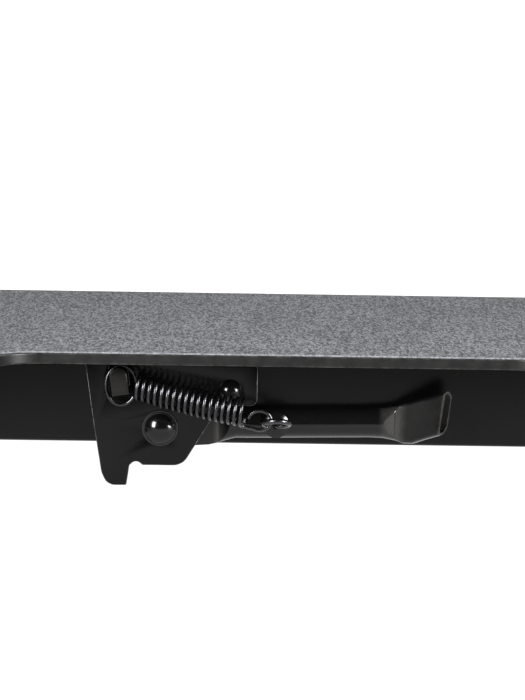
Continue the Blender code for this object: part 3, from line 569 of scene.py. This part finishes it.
def tongue():
    """Strip carried along its bend: out from the plate, a quarter turn up, and a round top.

    The strip's half width follows a circle over the top, and its section is a rounded rectangle.
    """
    bend, half_thick = 0.0022, TONGUE_THICK / 2
    turns = np.linspace(0, np.pi / 2, 9)
    middle_y = TONGUE_BACK + half_thick
    out = np.stack([middle_y - bend + bend * np.sin(turns), half_thick + bend - bend * np.cos(turns)],
                   -1)
    start = np.array([[PLATE_FACE - 0.0008, half_thick]])
    crown = np.linspace(0, np.pi / 2, 15)[:-1]
    rise = np.stack([np.full(14, middle_y), TONGUE_RISE + (TONGUE_HALF - 0.0001) * np.sin(crown)], -1)
    path = np.concatenate([start, out, rise])
    heading = np.concatenate([[0.0], turns, np.full(14, np.pi / 2)])
    half_width = np.concatenate([np.full(10, TONGUE_HALF), TONGUE_HALF * np.cos(crown)])
    rows = []
    for (y, up), angle, width in zip(path, heading, half_width):
        soft = min(0.0006, width * 0.6)
        section = rounded_outline([(-width, -half_thick, soft), (width, -half_thick, soft),
                                   (width, half_thick, soft), (-width, half_thick, soft)], 4, 0)
        across, thick = section.T
        x, z = leaning(across, up + thick * np.cos(angle))
        rows.append(np.stack([x, -(y - thick * np.sin(angle)), z], -1))
    # Past the bend the tongue's face is coloured lighter all over: painted light for its lit face.
    return skin("spring_tongue", np.stack(rows), np.concatenate([np.zeros(3), np.full(21, 0.35)]))


window = rounded_outline([(-TONGUE_HALF, TONGUE_THICK + 0.001, 0.001),
                          (TONGUE_HALF, TONGUE_THICK + 0.001, 0.001), (TONGUE_HALF, 0.017, 0.001),
                          (-TONGUE_HALF, 0.017, 0.001)], 4)
plate_mesh = cut_plate("hook_sheet", [hook_outline(), ring_of(PIN_X, PIN_Z, 0.0053),
                                      ring_of(BOLT_X, BOLT_Z, 0.0033),
                                      np.stack(leaning(*window.T), -1)], PLATE_BACK, PLATE_FACE)
plate_mesh.materials.append(powder_coat)
plate_mesh.materials.append(edge_coat)
hang("hook_sheet", plate_mesh, None, "deck", "powder_coat", "hook_plate_front")
hang("spring_tongue", tongue(), powder_coat, "deck", "powder_coat", "hook_plate_front")

# ------------------------------------------------------------------ pins, bolts and washers
# Domed heads turned from steel bar.  The heads of the pin and the bolts are gloss black, and the
# pin's sits on a thin washer that is plated black.
PIN_HEAD, PIN_HEIGHT, PIN_SHANK, PIN_END = 0.0095, 0.0058, 0.0050, 0.0805
BOLT_HEAD, BOLT_HEIGHT, BOLT_SHANK, BOLT_LENGTH = 0.0066, 0.0045, 0.0030, 0.0200

# Gloss black enamel: deep black and smooth, with faint ripples.
gloss_enamel, shader = new_material("gloss_black_enamel", "040404", 0.15)
shader.inputs["Specular IOR Level"].default_value = 0.24
place = add_node(gloss_enamel, "ShaderNodeTexCoord", {})
ripple = add_node(gloss_enamel, "ShaderNodeTexNoise", {
    "Vector": place.outputs["Object"], "Scale": 1 / 0.0030, "Detail": 4, "Roughness": 0.6})
wiped = add_node(gloss_enamel, "ShaderNodeTexNoise", {
    "Vector": place.outputs["Object"], "Scale": 1 / 0.009, "Detail": 6, "Roughness": 0.7})
wear_and_highlight_share = add_node(gloss_enamel, "ShaderNodeAttribute", {}, attribute_name="wear_and_highlight")
# The lighter mix: painted highlights and reflection on the lever's creases and mouth, and scuffing at
# the pin head's rim.
rub_and_highlight = add_node(gloss_enamel, "ShaderNodeMath", {
    0: wear_and_highlight_share.outputs["Fac"], 1: wiped.outputs[0]}, operation="MULTIPLY")
tone = add_node(gloss_enamel, "ShaderNodeMix", {
    0: rub_and_highlight.outputs[0], 6: linear("040404"), 7: linear("3a3937")}, data_type="RGBA")
gloss = add_node(gloss_enamel, "ShaderNodeMapRange", {
    "Value": wiped.outputs[0], "From Min": 0.35, "From Max": 0.7, "To Min": 0.13, "To Max": 0.21})
relief = add_node(gloss_enamel, "ShaderNodeBump", {
    "Height": ripple.outputs[0], "Strength": 0.12, "Distance": 0.0002})
link(gloss_enamel, tone.outputs[2], shader, "Base Color")
link(gloss_enamel, gloss.outputs[0], shader, "Roughness")
link(gloss_enamel, relief.outputs[0], shader, "Normal")

# Black zinc plate on steel: a dark metal, bright where it faces a light, unevenly passivated.
black_zinc, shader = new_material("black_zinc_plate", "363638", 0.26, 1.0)
place = add_node(black_zinc, "ShaderNodeTexCoord", {})
plating = add_node(black_zinc, "ShaderNodeTexNoise", {
    "Vector": place.outputs["Object"], "Scale": 1 / 0.0024, "Detail": 5, "Roughness": 0.6})
tone = add_node(black_zinc, "ShaderNodeMix", {
    0: plating.outputs[0], 6: linear("2e2e30"), 7: linear("404042")}, data_type="RGBA")
gloss = add_node(black_zinc, "ShaderNodeMapRange", {
    "Value": plating.outputs[0], "From Min": 0.3, "From Max": 0.7, "To Min": 0.20, "To Max": 0.32})
relief = add_node(black_zinc, "ShaderNodeBump", {
    "Height": plating.outputs[0], "Strength": 0.08, "Distance": 0.0001})
link(black_zinc, tone.outputs[2], shader, "Base Color")
link(black_zinc, gloss.outputs[0], shader, "Roughness")
link(black_zinc, relief.outputs[0], shader, "Normal")


def turned(name, profile, x, z, face, side=-1, wear_and_highlight=None, steps=64, closed=False):
    """A round piece: (radius, height above the face) points carried round an axis along Y."""
    radius, height = np.array(profile).T
    angles = np.linspace(0, 2 * np.pi, steps, endpoint=False)
    points = np.stack([x + np.outer(radius, np.cos(angles)),
                       side * (face + height)[:, None] * np.ones(steps),
                       z + np.outer(radius, np.sin(angles))], -1)
    return skin(name, points, wear_and_highlight, closed_along=closed)


def domed(radius, height, lip, steps=10):
    """Profile of a domed head, from its crown to its rim, over a short upright lip."""
    ball = (radius ** 2 + (height - lip) ** 2) / (2 * (height - lip))
    angles = np.linspace(0.004, np.arcsin(radius / ball), steps)
    crown = np.stack([ball * np.sin(angles), ball * (np.cos(angles) - 1) + height], -1)
    return np.concatenate([crown, [(radius, lip * 0.4), (radius - 0.0003, 0)]])


pin_face = PLATE_FACE + 0.0010
pin_end = PIN_END - pin_face
turned_head = np.concatenate([domed(PIN_HEAD, PIN_HEIGHT, 0.0008, 14),
                              [(PIN_SHANK, 0.0), (PIN_SHANK, pin_end), (0.0001, pin_end)]])
hang("domed_pin", turned("domed_pin", turned_head, PIN_X, PIN_Z, pin_face,
                         wear_and_highlight=np.where(np.arange(len(turned_head)) < 12, 0, 0.5)),
     gloss_enamel, "lever", "gloss_enamel", "lever_shaft")
washer = [(0.0053, 0.0001), (0.0101, 0.0001), (0.0103, 0.0003), (0.0103, 0.0007), (0.0101, 0.0009),
          (0.0053, 0.0009)]
hang("thin_washer", turned("thin_washer", washer, PIN_X, PIN_Z, PLATE_FACE, closed=True),
     black_zinc, "lever", "black_zinc", "shaft_washer")
for label, side, x, z in (("front", -1, BOLT_X, BOLT_Z), ("rear_right", 1, BOLT_X, BOLT_Z),
                          ("rear_left", 1, PIN_X, PIN_Z)):
    bolt = np.concatenate([domed(BOLT_HEAD, BOLT_HEIGHT, 0.0006) + [0, 0.0003],
                           [(BOLT_SHANK, 0.0003), (BOLT_SHANK, -BOLT_LENGTH),
                            (0.0001, -BOLT_LENGTH)]])
    hang("domed_bolt_" + label, turned("domed_bolt_" + label, bolt, x, z, PLATE_FACE, side, steps=40),
         gloss_enamel, "deck", "black_zinc", "hook_bolt_" + label)

# ------------------------------------------------------------------ latch lever
# Steel tube of 16.5 mm pressed flat at both ends.  The left end is a thin ear behind the hook
# plate, and the right end is a thumb paddle, bent forward and left open at its mouth.  Enamelled
# gloss black.  It is coloured lighter along the creases at the ear and the paddle's bend, as painted
# highlights, and at the mouth, as a painted highlight on its rim and a painted reflection inside it.
LEVER_RADIUS, LEVER_WALL = 0.00825, 0.0012


def between(value, stations, heights):
    """Straight lines between stations."""
    return np.interp(value, stations, heights)


def soft_min(one, other, width):
    """The lower of two values, with the corner between them rounded over a width."""
    return (one + other - np.sqrt((one - other) ** 2 + width ** 2)) / 2


def lever_skin():
    """Squashed tube: a circle at each station, scaled in height, with its front and back pressed
    to two depths.

    The depths follow straight ramps along the lever, so each ramp meets the round tube in a
    curved crease.  Past the bend the stations turn to the paddle's heading, and the mouth is cut
    by going back inside with the wall's thickness taken off.
    """
    z = TUBE_BOTTOM
    ear = np.array([12, 30, 50, 70, 90]) * np.pi / 180
    ear_x = PIN_X - 0.0123 * np.cos(ear)
    length = np.concatenate([ear_x, np.linspace(-0.060, -0.045, 4), np.linspace(-0.042, -0.011, 63),
                             np.linspace(0.0, 0.048, 9), np.linspace(0.052, 0.0945, 86)])
    path_y = between(length, [-0.0326, -0.0160, 0.0610, 0.0700, 0.0740, 0.0945],
                     [0.1191, 0.1255, 0.1255, 0.1262, 0.1283, 0.1428])
    path_y = np.convolve(np.pad(path_y, 4, "reflect", reflect_type="odd"), np.ones(9) / 9, "valid")
    heading = np.where(length < 0.05, 0.0, np.arctan(np.gradient(path_y, length)))
    low = z + between(length, [-0.0480, -0.0380, -0.0330, -0.0303, -0.0253, -0.0228, -0.0171,
                               -0.0120, 0.0530, 0.0610, 0.0687, 0.0735, 0.0790, 0.0860, 0.0945],
                      [-0.0008, -0.0001, 0.0011, 0.0023, 0.0040, 0.0048, 0.0052, 0.00535, 0.00645,
                       0.0062, 0.0049, 0.0036, 0.0041, 0.0073, 0.0108])
    high = z + between(length, [-0.0480, -0.0330, -0.0120, 0.0530, 0.0610, 0.0687, 0.0735, 0.0790,
                                0.0860, 0.0945],
                       [0.0215, 0.0217, 0.02185, 0.02295, 0.0234, 0.0245, 0.0266, 0.0291, 0.0322,
                        0.0357])
    middle_z, tall = (low + high) / 2, (high - low) / 2
    tall[:5] *= np.sin(ear)
    front = between(length, [-0.0326, -0.0223, 0.0600, 0.0690, 0.0715],
                    [0.0025, 0.0120, 0.0089, 0.0045, 0.0034])
    back = between(length, [-0.0326, -0.0180, 0.0600, 0.0700, 0.0800, 0.0945],
                   [0.0025, 0.0092, 0.0089, 0.0034, 0.0036, 0.0060])
    angles = np.linspace(0, 2 * np.pi, 96, endpoint=False)
    round_y = LEVER_RADIUS * np.cos(angles)[None, :] * np.ones((len(length), 1))
    depth = soft_min(round_y, front[:, None], 0.0003)
    depth = -soft_min(-depth, back[:, None], 0.0003)
    height = tall[:, None] * np.sin(angles)
    lean = between(length, [0.070, 0.0945], [0.0, math.tan(math.radians(7))])

    def section(rows, across, up):
        """Place sections on the path, turned to its heading and leaning to the right."""
        turned_to = heading[rows][:, None]
        x = length[rows][:, None] - across * np.sin(turned_to) + up * lean[rows][:, None]
        y = path_y[rows][:, None] + across * np.cos(turned_to)
        return np.stack([x, -y, middle_z[rows][:, None] + up], -1)

    every = np.arange(len(length))
    outer = section(every, depth, height)
    inside = every[:-16:-1]
    bore_y = np.sign(depth[inside]) * np.maximum(np.abs(depth[inside]) - LEVER_WALL, 0)
    bore_z = height[inside] * (1 - LEVER_WALL / tall[inside][:, None])
    inner = section(inside, bore_y, bore_z)
    # Lighter colour by station: painted highlights on the creases at the ear and the paddle's bend,
    # and a painted highlight and reflection round and inside the mouth.
    wear_and_highlight = np.concatenate([between(length, [-0.036, -0.033, -0.028, 0.058, 0.062, 0.071, 0.076],
                                   [0.0, 0.6, 0.0, 0.0, 0.3, 0.6, 0.05]),
                           np.full(len(inside), 0.8)])
    wear_and_highlight[len(length) - 1] = 1
    wear_and_highlight[len(length) - 2] = 0.3
    return skin("pressed_tube_lever", np.concatenate([outer, inner]), wear_and_highlight, sharp=32)


hang("pressed_tube_lever", lever_skin(), gloss_enamel, "lever", "gloss_enamel", "lever")

# ------------------------------------------------------------------ wire eye and collar
# The spring's far end hooks into an eye of 3 mm wire, bent nearly closed and set in the lever
# through a domed collar.  The eye is plated black, and the collar is gloss black.
EYE_X, EYE_Y, EYE_Z = 0.0, 0.1457, TUBE_BOTTOM + 0.0165
EYE_RADIUS, EYE_TILT = 0.0072, math.radians(20)


def bent_wire(name, path, radius, sides=14):
    """Round wire: a circle carried along a path, its frame turned only as the path turns, with
    both ends rounded over."""
    path = np.asarray(path)
    along = np.gradient(path, axis=0)
    along /= np.linalg.norm(along, axis=1, keepdims=True)
    normal = np.zeros_like(path)
    first = np.cross(along[0], [0.31, 0.52, 0.80])
    normal[0] = first / np.linalg.norm(first)
    for row in range(1, len(path)):
        carried = normal[row - 1] - along[row] * (normal[row - 1] @ along[row])
        normal[row] = carried / np.linalg.norm(carried)
    binormal = np.cross(along, normal)
    ends = np.array([(0.86, 0.25), (0.5, 0.60), (0.12, 0.86)])
    angles = np.linspace(0, 2 * np.pi, sides, endpoint=False)

    def ring(row, size, push):
        """Circle at one row, scaled in size and pushed along the path."""
        centre = path[row] + along[row] * push
        return centre + radius * size * (np.outer(np.cos(angles), normal[row])
                                         + np.outer(np.sin(angles), binormal[row]))

    caps = [ring(0, size, -push * radius * 0.5) for size, push in ends[::-1]]
    body = path[:, None] + radius * (np.cos(angles)[:, None] * normal[:, None]
                                     + np.sin(angles)[:, None] * binormal[:, None])
    tail = [ring(-1, size, push * radius * 0.5) for size, push in ends]
    return skin(name, np.concatenate([caps, body, tail]))


shank_z = EYE_Z - EYE_RADIUS * math.sin(EYE_TILT)
turns = np.radians(np.linspace(12, 322, 64))
out = EYE_RADIUS * np.cos(turns)
ring_path = np.stack([EYE_X + EYE_RADIUS * np.sin(turns), -EYE_Y + out * np.cos(EYE_TILT),
                      EYE_Z - out * np.sin(EYE_TILT)], -1)
shank = np.stack([np.full(6, EYE_X), -np.linspace(0.1285, 0.1372, 6), np.full(6, shank_z)], -1)
hang("wire_eye", bent_wire("wire_eye", np.concatenate([shank, ring_path]), 0.0015, 18),
     black_zinc, "lever", "black_zinc", "spring_eye")
collar_face = 0.1255 + LEVER_RADIUS + 0.0003
collar = domed(0.0074, 0.0030, 0.0006, 14)
collar = np.concatenate([[(0.0020, 0.0030)], collar[collar[:, 0] > 0.0024], [(0.0020, 0)]])
hang("domed_collar", turned("domed_collar", collar, EYE_X, shank_z, collar_face, closed=True,
                            steps=56),
     gloss_enamel, "lever", "black_zinc", "eye_collar")

# ------------------------------------------------------------------ return spring
# Tension spring of 2 mm wire, 17 mm across, stretched so that its turns stand about 3.5 mm apart,
# and plated black.  Its left loop goes round the tongue and its right loop through the wire eye,
# and it sags slightly between them.
COIL_TURNS, COIL_RADIUS, COIL_SAG = 17, 0.0075, 0.0009
COIL_LEFT = np.array([-0.0778, -0.1350, TUBE_BOTTOM + 0.0350])
COIL_RIGHT = np.array([-0.0193, -0.1450, TUBE_BOTTOM + 0.0228])


def coil(turn):
    """Right-handed coil: a circle square to the line between its ends, which sags by a parabola.
    Whole turns are the foremost points."""
    share = turn / COIL_TURNS
    axis = (COIL_RIGHT - COIL_LEFT) / np.linalg.norm(COIL_RIGHT - COIL_LEFT)
    forward = np.array([0, -1, 0]) + axis * axis[1]
    forward /= np.linalg.norm(forward)
    under = np.cross(axis, forward)
    under *= -np.sign(under[2])
    centre = COIL_LEFT + share[:, None] * (COIL_RIGHT - COIL_LEFT)
    centre[:, 2] -= 4 * COIL_SAG * share * (1 - share)
    angle = 2 * np.pi * turn[:, None]
    return centre + COIL_RADIUS * (forward * np.cos(angle) + under * np.sin(angle))


def upright_oval(x, y, z, across, tall, start, end, steps):
    """Part of an upright oval, seen from the front, between two angles in degrees."""
    angles = np.radians(np.linspace(start, end, steps))
    return np.stack([x + across * np.cos(angles), np.full(steps, y), z + tall * np.sin(angles)], -1)


def easing(start, start_pull, end_pull, end, steps):
    """Cubic curve between two points that leaves and arrives along the given pulls."""
    share = np.linspace(0, 1, steps)[1:-1, None]
    return ((1 - share) ** 3 * start + 3 * (1 - share) ** 2 * share * (start + start_pull)
            + 3 * (1 - share) * share ** 2 * (end + end_pull) + share ** 3 * end)


def unit(vector):
    """The vector scaled to length one."""
    return vector / np.linalg.norm(vector)


left_loop = upright_oval(-0.0880, COIL_LEFT[1], TUBE_BOTTOM + 0.0357, 0.0086, 0.0112, 325, 15, 60)
right_loop = upright_oval(-0.0096, -EYE_Y, TUBE_BOTTOM + 0.0183, 0.0064, 0.0055, 245, 525, 48)
first, last = -0.5, COIL_TURNS + 0.20
coils = coil(np.linspace(first, last, int((last - first) * 28)))
entry = easing(left_loop[-1], unit(left_loop[-1] - left_loop[-2]) * 0.003,
               unit(coils[0] - coils[1]) * 0.004, coils[0], 14)
leaving = easing(coils[-1], unit(coils[-1] - coils[-2]) * 0.003,
                 unit(right_loop[0] - right_loop[1]) * 0.003, right_loop[0], 14)
spring_path = np.concatenate([left_loop, entry, coils, leaving, right_loop])
spring = hang("tension_spring", bent_wire("tension_spring", spring_path, 0.0010), black_zinc, None,
              "black_zinc", "return_spring")
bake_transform(spring)

# ------------------------------------------------------------------ bright zinc rods and clips
# Rods, bushes and the keeper are cut from drawn steel and plated with clear zinc.

# Bright zinc plate: pale metal with a soft spangle and handling marks.
bright_zinc, shader = new_material("bright_zinc_plate", "b9bbbd", 0.32, 1.0)
place = add_node(bright_zinc, "ShaderNodeTexCoord", {})
spangle = add_node(bright_zinc, "ShaderNodeTexVoronoi", {
    "Vector": place.outputs["Object"], "Scale": 1 / 0.005})
marks = add_node(bright_zinc, "ShaderNodeTexNoise", {
    "Vector": place.outputs["Object"], "Scale": 1 / 0.008, "Detail": 6, "Roughness": 0.7})
facet = add_node(bright_zinc, "ShaderNodeSeparateColor", {"Color": spangle.outputs["Color"]})
tone = add_node(bright_zinc, "ShaderNodeMix", {
    0: facet.outputs[0], 6: linear("a9abad"), 7: linear("c6c8ca")}, data_type="RGBA")
gloss = add_node(bright_zinc, "ShaderNodeMapRange", {
    "Value": marks.outputs[0], "From Min": 0.3, "From Max": 0.7, "To Min": 0.24, "To Max": 0.44})
relief = add_node(bright_zinc, "ShaderNodeBump", {
    "Height": marks.outputs[0], "Strength": 0.1, "Distance": 0.0001})
link(bright_zinc, tone.outputs[2], shader, "Base Color")
link(bright_zinc, gloss.outputs[0], shader, "Roughness")
link(bright_zinc, relief.outputs[0], shader, "Normal")
paint(bright_zinc, "hinge_rod", "prop_rod", "prop_crossbar", "shaft_clip", "lock_pawl",
      "hook_bush_front", "hook_bush_rear_left", "hook_bush_rear_right")
paint(black_zinc, "hinge_nut_front", "hinge_nut_rear")

# ------------------------------------------------------------------ nylon plugs and bushes
# Tube ends and bushes are moulded in black nylon, with the fine spark texture of the mould.
nylon, shader = new_material("moulded_black_nylon", "303031", 0.5)
place = add_node(nylon, "ShaderNodeTexCoord", {})
spark = add_node(nylon, "ShaderNodeTexNoise", {
    "Vector": place.outputs["Object"], "Scale": 1 / 0.0009, "Detail": 3})
gloss = add_node(nylon, "ShaderNodeMapRange", {
    "Value": spark.outputs[0], "From Min": 0.3, "From Max": 0.7, "To Min": 0.44, "To Max": 0.58})
relief = add_node(nylon, "ShaderNodeBump", {
    "Height": spark.outputs[0], "Strength": 0.3, "Distance": 0.0001})
link(nylon, gloss.outputs[0], shader, "Roughness")
link(nylon, relief.outputs[0], shader, "Normal")
paint(nylon, "lever_bush", "hinge_spacer_front", "hinge_spacer_rear",
      *[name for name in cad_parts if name.startswith(("tube_cap_", "rail_plug_"))])

# ------------------------------------------------------------------ rubber boots and pads
# Boots on the base's feet and two rest pads, moulded in black rubber and dull with dust.
rubber, shader = new_material("black_moulded_rubber", "262626", 0.78)
shader.inputs["Specular IOR Level"].default_value = 0.3
place = add_node(rubber, "ShaderNodeTexCoord", {})
bloom = add_node(rubber, "ShaderNodeTexNoise", {
    "Vector": place.outputs["Object"], "Scale": 1 / 0.012, "Detail": 6, "Roughness": 0.7})
tone = add_node(rubber, "ShaderNodeMix", {
    0: bloom.outputs[0], 6: linear("202020"), 7: linear("383735")}, data_type="RGBA")
relief = add_node(rubber, "ShaderNodeBump", {
    "Height": bloom.outputs[0], "Strength": 0.2, "Distance": 0.0002})
link(rubber, tone.outputs[2], shader, "Base Color")
link(rubber, relief.outputs[0], shader, "Normal")
paint(rubber, "rest_pad_front", "rest_pad_rear",
      *[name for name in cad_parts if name.startswith("foot_")])
